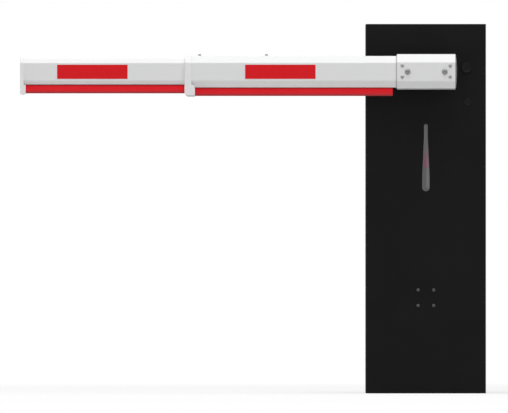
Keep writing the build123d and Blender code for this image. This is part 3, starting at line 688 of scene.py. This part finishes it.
# Status light: a smoked, frosted polycarbonate lens with two slopes that meet in a soft ridge,
# snapped into the front panel from inside by its flange. A tray behind it holds a strip of red lamps.
lens_bottom_radius = 0.0101
lens_top_radius = 0.00535
lens_flare_start = 0.0385  # above the lower arc's centre
lens_flare_length = 0.1
lens_bend_run = 0.012
lens_top = 0.1755
lens_crown = 0.003
lens_ridge = 0.25  # share of the width over which the two slopes turn into each other
lens_rim = 0.0006
lens_bevel = 0.0005
lens_bevel_share = 0.06
lens_flange = 0.004
lens_weld = 0.00001
lens_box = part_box("status_lens")
lens_arc_z = lens_box[0].z + lens_flange + lens_bottom_radius
panel_front, panel_back = (corner.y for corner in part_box("front_panel"))
flare_slope = (lens_bottom_radius - lens_top_radius) / lens_flare_length


def bent(distance):
    """Straight line of slope one from zero on, with a soft bend at its start."""
    if distance <= -lens_bend_run:
        return 0.0
    if distance >= lens_bend_run:
        return distance
    return (distance + lens_bend_run) ** 2 / (4 * lens_bend_run)


def lens_half_width(height):
    """Half the lens's width at a height over the lower arc's centre, between its two arcs."""
    along = height - lens_flare_start
    return lens_bottom_radius - flare_slope * (bent(along) - bent(along - lens_flare_length))


def lens_edge_points():
    """Right side of the lens's outline from its lowest point to its top, with the spine's height."""
    arc_steps = 12
    side_steps = 40
    upper = lens_top - lens_top_radius
    points = []
    for step in range(arc_steps + 1):
        angle = pi / 2 * step / arc_steps
        points.append((lens_bottom_radius * sin(angle), -lens_bottom_radius * cos(angle), 0.0))
    for step in range(1, side_steps):
        height = upper * step / side_steps
        points.append((lens_half_width(height), height, height))
    for step in range(arc_steps + 1):
        angle = pi / 2 * step / arc_steps
        points.append((lens_top_radius * cos(angle), upper + lens_top_radius * sin(angle), upper))
    return points


right_edge = lens_edge_points()
left_edge = [(-x, z, spine) for x, z, spine in reversed(right_edge[1:-1])]
lens_edge = right_edge + left_edge


def lens_ring(shape, share, grown, y):
    """Loop of points: a share of the way from the outline to the spine, or grown outwards."""
    loop = []
    for x, z, spine in lens_edge:
        edge, middle = Vector((x, 0, z)), Vector((0, 0, spine))
        spot = edge.lerp(middle, share) + (edge - middle).normalized() * grown
        loop.append(shape.verts.new((spot.x, y, spot.z + lens_arc_z)))
    return loop


def lens_rise(share):
    """Height of the lens over its bevel: two even slopes with a soft ridge between them."""
    slope = 1 / (1 - lens_ridge / 2)
    beyond = max(0.0, share - 1 + lens_ridge)
    return lens_crown * slope * (share - beyond**2 / (2 * lens_ridge))


lens_shape = bmesh.new()
slope_steps = 12
lens_loops = [
    lens_ring(lens_shape, 1.0, 0.0, lens_box[1].y),
    lens_ring(lens_shape, 0.0, lens_flange, lens_box[1].y),
    lens_ring(lens_shape, 0.0, lens_flange, panel_back),
    lens_ring(lens_shape, 0.0, 0.0, panel_back),
    lens_ring(lens_shape, 0.0, 0.0, panel_front - lens_rim),
]
for step in range(slope_steps + 1):
    share = step / slope_steps
    place_y = panel_front - lens_rim - lens_bevel - lens_rise(share)
    lens_loops.append(lens_ring(lens_shape, lens_bevel_share * (1 - share) + share, 0.0, place_y))
skin(lens_shape, lens_loops)
bmesh.ops.remove_doubles(lens_shape, verts=lens_shape.verts, dist=lens_weld)

# Painted glow of the lamps through the frost: the lens itself emits red in a slim drop that fades upwards
# and ends sharply below
glow_top = 0.690
glow_full = 0.632
glow_bottom = 0.6195
glow_edge = 0.0024
glow_middle = 0.0008
glow_half_widths = (0.0042, 0.0074)  # at its top and at its bottom
painted_glow_colour = (1.0, 0.02, 0.27, 1)
painted_glow_base = (0.038, 0.02, 0.027, 1)  # the lens's colour under the painted glow, darkened and tinted red with it
painted_glow_strength = 0.09
smoked_lens, smoke, smoke_shader = start_material("smoked_lens", specular=0.8)
smoke_grain = use_group(smoke, coat_grain, Grain_Size=0.0004, Patch_Size=0.03)
smoke_place = put(smoke, "SeparateXYZ", Vector=place_on(smoke)).outputs
glow_rise = ramp(smoke, smoke_place["Z"], glow_top, glow_full, soft=True)
glow_end = ramp(smoke, smoke_place["Z"], glow_bottom, glow_bottom + glow_edge, soft=True)
glow_off = reckon(smoke, "ABSOLUTE", reckon(smoke, "SUBTRACT", smoke_place["X"], glow_middle))
glow_reach = between(smoke, glow_rise, *glow_half_widths)
glow_inside = reckon(smoke, "SUBTRACT", glow_reach, glow_off)
glow_side = ramp(smoke, glow_inside, 0.0, glow_edge, soft=True)
painted_glow_mask = product(smoke, glow_rise, glow_end, glow_side)
smoke_colour = tinted(smoke, smoke_grain["Tone"], shade(0.052), shade(0.072))
smoke_colour = tinted(smoke, painted_glow_mask, smoke_colour, painted_glow_base)
# Painted glow: the lens emits red where the mask is, though it is no lamp
feed(smoke, smoke_shader["Emission Color"], tinted(smoke, painted_glow_mask, (0, 0, 0, 1), painted_glow_colour))
smoke_shader["Emission Strength"].default_value = painted_glow_strength
smoke_rough = between(smoke, smoke_grain["Gloss"], 0.28, 0.4)
finish_surface(smoke, smoke_shader, smoke_colour, smoke_rough, smoke_grain["Height"], depth=0.00003)
lens_dome = new_piece("lens_dome", lens_shape, smoked_lens, sharp_angle=50)
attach(lens_dome, "cabinet")
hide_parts("status_lens")
dress(moulded_black, "light_tray")

# Lamp strip: a dark red circuit board with a row of small square lamps
lamp_count = 13
lamp_half = 0.0025
lamp_height = 0.0014
lamp_rounding = 0.0003
strip_low, strip_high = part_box("led_strip")
lamp_board = coated(
    "lamp_board",
    tones=((0.35, 0.05, 0.05, 1), (0.5, 0.1, 0.09, 1)),
    roughness=(0.3, 0.5),
    depth=0.00003,
    specular=0.4,
    grain=dict(Grain_Size=0.0006, Patch_Size=0.01),
)
dress(lamp_board, "led_strip")
lamp_shape = bmesh.new()
for lamp in range(lamp_count):
    lamp_z = strip_low.z + (lamp + 0.5) * (strip_high.z - strip_low.z) / lamp_count
    add_block(
        lamp_shape,
        (-lamp_half, strip_low.y - lamp_height, lamp_z - lamp_half),
        (lamp_half, strip_low.y, lamp_z + lamp_half),
        lamp_rounding,
    )
lamps = new_piece("red_lamps", lamp_shape, lamp_board)
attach(lamps, "cabinet")


# Panel screws: four M5 button screws of steel, plated with black zinc. They hold the sensor's
# plate behind the panel.
def front_place(middle, seat, turn=0.0):
    """Place of a round part on a face that looks to the front, turned about its own axis."""
    return Matrix.Translation((middle[0], seat, middle[1])) @ facing_front @ Matrix.Rotation(turn, 4, "Z")


def button_set(spots, seat, **sizes):
    """Shape of like button screws on a face that looks to the front."""
    shape = bmesh.new()
    for spot in spots:
        add_turned(shape, front_place(spot, seat), button_rings(**sizes))
    return shape


def corner_spots(node, head_radius):
    """Places of the fasteners at a node's corners, once each."""
    low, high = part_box(node)
    across = (low.x + head_radius, high.x - head_radius)
    up = sorted({round(low.z + head_radius, 6), round(high.z - head_radius, 6)})
    return [(x, z) for x in across for z in up]


panel_head_radius = 0.00485
panel_screw_shape = button_set(
    corner_spots("panel_screws", panel_head_radius),
    panel_front,
    head_radius=panel_head_radius,
    head_height=0.0028,
    shank_radius=0.0025,
    shank_length=0.0055,
    across=0.003,
    socket_depth=0.0018,
)
panel_screws = new_piece("panel_button_screws", panel_screw_shape, black_zinc)
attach(panel_screws, "cabinet")
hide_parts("panel_screws")


# Release cover: a round black plug over the hand release, pressed into the panel. It has a
# raised rim and a slot for a coin.
def middle_of(node):
    """Middle of a node as the front view shows it."""
    low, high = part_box(node)
    return ((low.x + high.x) / 2, (low.z + high.z) / 2)


release_radius = 0.0145
release_low, release_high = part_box("release_cover")
release_middle = middle_of("release_cover")
release_height = panel_front - release_low.y
release_stem = release_high.y - panel_front
release_stem_radius = 0.008
release_rim_inside = release_radius - 0.0026
release_dish_radius = 0.0105
release_dish = release_height - 0.0008
release_turn = radians(20)
slot_half_length = 0.0085
slot_half_width = 0.0011
slot_bevel = 0.0002
slot_floor = release_height - 0.0026


def slot_outline(half_length, half_width):
    """Outline of a slot, long along the part's own X."""

    def reach(angle):
        along, across = abs(cos(angle)), abs(sin(angle))
        return min(half_length / max(along, 0.001), half_width / max(across, 0.001))

    return reach


release_shape = bmesh.new()
add_turned(
    release_shape,
    front_place(release_middle, panel_front, release_turn),
    [
        (release_stem_radius, -release_stem),
        (release_stem_radius, 0),
        *raised_disc(release_radius, release_height, rounding=0.0013, shoulder=0.0004),
        (release_rim_inside, release_height),
        (release_rim_inside - 0.0006, release_height - 0.0006),
        (release_dish_radius, release_dish),
        (slot_outline(slot_half_length, slot_half_width), release_dish),
        (slot_outline(slot_half_length - slot_bevel, slot_half_width - slot_bevel), slot_floor),
    ],
)
release_cap = new_piece("release_plug", release_shape, moulded_black)
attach(release_cap, "cabinet")
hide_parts("release_cover")


# Key lock: a black cam lock below the release, with a turned ring, a rotor set back in it and
# an upright keyway. A nut behind the panel holds it.
key_low, key_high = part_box("key_lock")
key_radius = 0.011
key_middle = middle_of("key_lock")
key_height = panel_front - key_low.y
key_body_radius = 0.0075
key_nut_across = 0.0185
key_nut_face = panel_back - panel_front
key_nut_end = key_nut_face + 0.004
key_ring_inside = 0.0078
key_rotor_radius = 0.0068
key_rotor = key_height - 0.0005
keyway_half_length = 0.0042
keyway_half_width = 0.0007
keyway_bevel = 0.0001
keyway_floor = key_height - 0.0028
key_shape = bmesh.new()
add_turned(
    key_shape,
    front_place(key_middle, panel_front, radians(90)),
    [
        (key_body_radius, panel_front - key_high.y),
        (key_body_radius, -key_nut_end),
        (hexagon(key_nut_across), -key_nut_end),
        (hexagon(key_nut_across), -key_nut_face),
        (key_body_radius, -key_nut_face),
        (key_body_radius, 0),
        *raised_disc(key_radius, key_height, rounding=0.0014, shoulder=0.0005),
        (key_ring_inside, key_height),
        (key_ring_inside - 0.0004, key_height - 0.0004),
        (key_rotor_radius + 0.0003, key_rotor - 0.0003),
        (key_rotor_radius, key_rotor),
        (slot_outline(keyway_half_length, keyway_half_width), key_rotor),
        (slot_outline(keyway_half_length - keyway_bevel, keyway_half_width - keyway_bevel), keyway_floor),
    ],
)
key_lock = new_piece("key_lock_head", key_shape, moulded_black)
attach(key_lock, "cabinet")
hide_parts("key_lock")


# Bearing, shaft and hub: a cast flange bearing painted black, bolted through the front panel,
# with a turned steel shaft in it that carries the hub plate and, inside, its ring.
cast_iron = coated(
    "bearing_iron",
    tones=(shade(0.014), shade(0.024)),
    roughness=(0.45, 0.62),
    depth=0.00025,
    specular=0.25,
    grain=dict(Grain_Size=0.0016, Patch_Size=0.02),
    edge=dict(Radius=0.0006, Patch_Size=0.006, Amount=1.0),
    rubbed=shade(0.08),
)
dress(cast_iron, "bearing_housing", "hub_plate")
shaft_steel = metal(
    "shaft_steel", tones=(shade(0.5), shade(0.6)), roughness=(0.22, 0.36), stretch_y=6.0
)
dress(shaft_steel, "drive_shaft", "shaft_collar")
bolt_steel = metal("bolt_steel", tones=(shade(0.22), shade(0.3)), roughness=(0.42, 0.56))
dress(bolt_steel, "bearing_bolts")


# Arm: sleeve and tubes are aluminium extrusions in white powder coat, smoother than the
# cabinet's. The tubes telescope, and the sleeve is bolted through them to the hub plate.
white_arm = coated(
    "white_arm",
    tones=(shade(0.775, (0.995, 1.0, 1.004)), shade(0.8)),
    roughness=(0.36, 0.5),
    depth=0.00006,
    specular=0.3,
    grain=dict(Grain_Size=0.0012, Patch_Size=0.16),
    edge=dict(Radius=0.0008, Patch_Size=0.01, Amount=0.25),
    rubbed=shade(0.6),
    dust=dict(Amount=0.03),
    # painted shade on the arm's undersides, which darkens its lowest rounding
    underside_shade=dict(Start=-0.62, Full=-0.84, Amount=0.9),
)
dress(white_arm, "arm_sleeve", "main_tube", "inner_tube")


# Sleeve bead: a thin grey bead round the wide tube, drawn along the joint where it enters the
# sleeve. It is painted shadow, put there for the shadow line in that joint.
def boom_loop(shape, x, height, flat, depth, slope_depth, corner, grown):
    """Loop of points across the arm: an eight-sided outline with rounded corners, moved out."""
    middle_y, middle_z = arm_middle
    edge, shoulder = depth / 2, depth / 2 - slope_depth
    upper = [(edge, flat / 2), (shoulder, height / 2), (-shoulder, height / 2), (-edge, flat / 2)]
    corners = [Vector(spot) for spot in upper + [(y, -z) for y, z in reversed(upper)]]
    corner_steps = 4
    loop = []
    for index, spot in enumerate(corners):
        before = (corners[index - 1] - spot).normalized()
        after = (corners[(index + 1) % len(corners)] - spot).normalized()
        turn = pi - before.angle(after)
        inward = (before + after).normalized()
        centre = spot + inward * corner / cos(turn / 2)
        start_angle = atan2(before.x, -before.y)
        for step in range(corner_steps + 1):
            angle = start_angle + turn * step / corner_steps
            reach = corner + grown
            around = centre + Vector((reach * cos(angle), reach * sin(angle)))
            loop.append(shape.verts.new((x, middle_y + around.x, middle_z + around.y)))
    return loop


tube_low, tube_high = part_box("main_tube")
arm_middle = ((tube_low.y + tube_high.y) / 2, (tube_low.z + tube_high.z) / 2)
tube_flat = 0.049
tube_slope_depth = 0.016
tube_corner = 0.004
tube_section = (tube_high.z - tube_low.z, tube_flat, tube_high.y - tube_low.y, tube_slope_depth, tube_corner)
bead_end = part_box("arm_sleeve")[0].x
bead_length = 0.0032
bead_height = 0.0012
bead_profile = ((0, 0), (0, 1), (0.35, 0.8), (0.8, 0.35), (1, 0))  # shares of length and height
# grey of the bead that stands in for the joint's shadow line: painted shadow
shadow_bead_material = coated(
    "shadow_bead_grey",
    tones=(shade(0.42), shade(0.5)),
    roughness=(0.5, 0.65),
    depth=0.0002,
    specular=0.2,
    grain=dict(Grain_Size=0.002, Patch_Size=0.02),
)
bead_shape = bmesh.new()
bead_loops = [
    boom_loop(bead_shape, bead_end - along * bead_length, *tube_section, out * bead_height)
    for along, out in bead_profile
]
skin(bead_shape, bead_loops + bead_loops[:1])
sleeve_bead = new_piece("sleeve_shadow_bead", bead_shape, shadow_bead_material, sharp_angle=70)
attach(sleeve_bead, "arm")


# Caps: moulded ABS. The collar and the tip cap are off-white, and the sleeve's end is grey. All
# are pushed into the tubes' ends.
def moulded(name, *tones):
    """Moulded plastic between two tones, with a fine spark-eroded skin, rounded edges and painted shade on
    its undersides.
    """
    return coated(
        name,
        tones,
        roughness=(0.42, 0.56),
        depth=0.00005,
        specular=0.3,
        grain=dict(Grain_Size=0.0005, Patch_Size=0.04),
        edge=dict(Radius=0.0007, Patch_Size=0.008),
        # painted shade on the caps' undersides
        underside_shade=dict(Start=-0.2, Full=-0.75, Amount=0.5),
    )


white_cap = moulded("white_cap", shade(0.805), shade(0.83))
dress(white_cap, "tube_collar", "inner_end_cap")
grey_cap = moulded("grey_cap", shade(0.175), shade(0.205))
dress(grey_cap, "sleeve_end_cap")
glide_plastic = moulded("glide_plastic", (0.66, 0.65, 0.6, 1), (0.72, 0.71, 0.67, 1))
dress(glide_plastic, "guide_block")


# Sleeve bolts and screws: two M10 button bolts that go through the arm into the hub plate, and
# four M5 button screws that hold the tube in the sleeve. Zinc-plated steel, dulled.
dark_steel = metal("dark_steel", tones=(shade(0.27), shade(0.35)), roughness=(0.38, 0.52))
sleeve_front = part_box("arm_sleeve")[0].y
bolt_head_radius = 0.0076
bolt_low, bolt_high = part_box("sleeve_bolts")
bolt_middle_z = (bolt_low.z + bolt_high.z) / 2
bolt_spots = [
    (bolt_low.x + bolt_head_radius, bolt_middle_z),
    (bolt_high.x - bolt_head_radius, bolt_middle_z),
]
bolt_shape = button_set(
    bolt_spots,
    sleeve_front,
    head_radius=bolt_head_radius,
    head_height=0.0052,
    shank_radius=0.005,
    shank_length=bolt_high.y - sleeve_front,
    across=0.006,
    socket_depth=0.0035,
)
sleeve_bolts = new_piece("sleeve_button_bolts", bolt_shape, bolt_steel)
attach(sleeve_bolts, "arm")
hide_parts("sleeve_bolts")

screw_head_radius = 0.0047
screw_shape = button_set(
    corner_spots("sleeve_screws", screw_head_radius),
    sleeve_front,
    head_radius=screw_head_radius,
    head_height=0.0026,
    shank_radius=0.0025,
    shank_length=0.006,
    across=0.003,
    socket_depth=0.0017,
)
sleeve_screws = new_piece("sleeve_button_screws", screw_shape, dark_steel)
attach(sleeve_screws, "arm")
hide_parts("sleeve_screws")


# Clamp screws: two M5 cap screws on top of the wide tube, with knurled heads and plain washers.
# They press on the narrow tube and hold the arm's length.
clamp_head_radius = 0.0035
washer_radius = 0.0062
washer_thickness = 0.0009
clamp_low, clamp_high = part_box("clamp_screws")
tube_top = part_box("main_tube")[1].z
clamp_y = (clamp_low.y + clamp_high.y) / 2
clamp_head = clamp_high.z - tube_top
clamp_shank_radius = 0.0025
clamp_socket_across = 0.003
clamp_socket_depth = 0.0024
washer_edge = 0.0002
knurl_count = 24
knurl_depth = 0.0002


def knurled(angle):
    """Outline of a clamp screw's head."""
    return clamp_head_radius - knurl_depth * (0.5 + 0.5 * cos(knurl_count * angle))


clamp_shape = bmesh.new()
washer_shape = bmesh.new()
for clamp_x in (clamp_low.x + clamp_head_radius, clamp_high.x - clamp_head_radius):
    clamp_place = Matrix.Translation((clamp_x, clamp_y, tube_top))
    add_turned(
        clamp_shape,
        clamp_place,
        [
            (clamp_shank_radius, clamp_low.z - tube_top),
            (clamp_shank_radius, washer_thickness),
            (knurled, washer_thickness),
            (knurled, clamp_head - 0.0004),
            (clamp_head_radius - 0.0005, clamp_head),
            (hexagon(clamp_socket_across + 0.0002), clamp_head),
            (hexagon(clamp_socket_across), clamp_head - 0.0003),
            (hexagon(clamp_socket_across), clamp_head - clamp_socket_depth),
        ],
    )
    add_turned(
        washer_shape,
        clamp_place,
        [
            (washer_radius - washer_edge, 0),
            (washer_radius, washer_edge),
            (washer_radius, washer_thickness - washer_edge),
            (washer_radius - washer_edge, washer_thickness),
        ],
    )
clamp_screws = new_piece("clamp_cap_screws", clamp_shape, dark_steel)
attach(clamp_screws, "arm")
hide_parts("clamp_screws")
bright_zinc = metal("bright_zinc", tones=(shade(0.62), shade(0.7)), roughness=(0.25, 0.4))
clamp_washers = new_piece("clamp_washers", washer_shape, bright_zinc)
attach(clamp_washers, "arm")


# Rubber: a soft red EPDM profile, extruded, slid into the track under each tube. It has the
# faint lengthwise lines of its die and a dull skin.
rubber_red = (0.85, 0.0165, 0.025, 1)
rubber_patch = (0.91, 0.0195, 0.0285, 1)
rubber_shadow = (0.16, 0.01, 0.014, 1)  # painted shadow in the joint under the tube
rubber_low_tone = (0.30, 0.05, 0.055, 1)  # darker, duller red: towards the lower edge, and as painted shade on undersides
joint_shade_reach = 0.0055
joint_shade_share = 0.58
low_band_reach = 0.0125  # above the strip's lower edge
low_band_share = 0.62


def rubber_finish(name, tube, strip):
    """Red rubber under a tube: painted shadow in the joint under the tube, darker towards its lower edge,
    and painted shade on its undersides.
    """
    material, tree, shader = start_material(name, specular=0.1)
    grain = use_group(tree, coat_grain, Grain_Size=0.0009, Patch_Size=0.09)
    lines = use_group(
        tree, metal_grain, Scratch_Size=0.0012, Stretch_X=0.01, Stretch_Y=1.0, Stretch_Z=1.0
    )
    height = put(tree, "SeparateXYZ", Vector=place_on(tree)).outputs["Z"]
    # painted shade on the rubber's undersides
    underside_shade = use_group(tree, painted_underside_shade, Start=-0.05, Full=-0.7, Amount=0.6)
    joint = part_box(tube)[0].z
    joint_shade_part = product(tree, ramp(tree, height, joint - joint_shade_reach, joint), joint_shade_share)
    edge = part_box(strip)[0].z
    low_band_part = product(tree, ramp(tree, height, edge + low_band_reach, edge), low_band_share)
    colour = tinted(tree, grain["Tone"], rubber_red, rubber_patch)
    # painted shadow of the tube in the joint above the rubber
    colour = tinted(tree, joint_shade_part, colour, rubber_shadow)
    # darker and duller towards the strip's lower edge
    colour = tinted(tree, low_band_part, colour, rubber_low_tone)
    # painted shade on faces that look down
    colour = tinted(tree, underside_shade["Mask"], colour, rubber_low_tone)
    rough = between(tree, grain["Gloss"], 0.5, 0.66)
    skin_height = reckon(tree, "ADD", lines["Height"], grain["Height"])
    finish_surface(tree, shader, colour, rough, skin_height, depth=0.00006)
    return material


dress(rubber_finish("wide_rubber", "main_tube", "main_rubber"), "main_rubber")
dress(rubber_finish("narrow_rubber", "inner_tube", "inner_rubber"), "inner_rubber")


# Reflective strips: red prismatic film with a honeycomb of sealed cells, stuck on the tubes'
# flats. A clear hard face gives it more gloss than the paint.
cell_seal_range = (0.44, 0.48)  # distance from a cell's middle, in cell widths
film_cells, film_in, film_out = start_group(
    "film_cells", ["Cell Size"], {"Edge": "Float", "Tone": "Float"}
)
film_place = put(film_cells, "SeparateXYZ", Vector=place_on(film_cells)).outputs
film_x = reckon(film_cells, "DIVIDE", film_place["X"], film_in["Cell Size"])
film_z = reckon(film_cells, "DIVIDE", film_place["Z"], film_in["Cell Size"])


def cell_reach(shift):
    """Distance from the middle of the nearest cell in one of the honeycomb's two grids."""
    x = reckon(film_cells, "ADD", film_x, shift * 0.5)
    z = reckon(film_cells, "ADD", film_z, shift * sqrt(3) / 2)
    x = reckon(film_cells, "SUBTRACT", reckon(film_cells, "FLOORED_MODULO", x, 1.0), 0.5)
    z = reckon(film_cells, "SUBTRACT", reckon(film_cells, "FLOORED_MODULO", z, sqrt(3)), sqrt(3) / 2)
    x = reckon(film_cells, "ABSOLUTE", x)
    z = reckon(film_cells, "ABSOLUTE", z)
    slanted = reckon(
        film_cells, "ADD", product(film_cells, x, 0.5), product(film_cells, z, sqrt(3) / 2)
    )
    return reckon(film_cells, "MAXIMUM", x, slanted)


film_reach = reckon(film_cells, "MINIMUM", cell_reach(0), cell_reach(1))
feed(film_cells, film_out["Edge"], ramp(film_cells, film_reach, *cell_seal_range))
feed(film_cells, film_out["Tone"], noise(film_cells, place_on(film_cells), scale=90.0))

film_red = (0.69, 0.0085, 0.0135, 1)
film_patch = (0.74, 0.0105, 0.0165, 1)
film_seal = (0.77, 0.026, 0.035, 1)
red_reflector, film, film_shader = start_material("red_reflector", specular=0.12)
cells = use_group(film, film_cells, Cell_Size=0.0042)
film_colour = tinted(film, cells["Tone"], film_red, film_patch)
film_colour = tinted(film, cells["Edge"], film_colour, film_seal)
film_rough = between(film, cells["Edge"], 0.3, 0.5)
finish_surface(film, film_shader, film_colour, film_rough, cells["Edge"], depth=0.00004)
for strip in ("main_reflector", "inner_reflector"):
    dress(red_reflector, strip + "_front", strip + "_back")
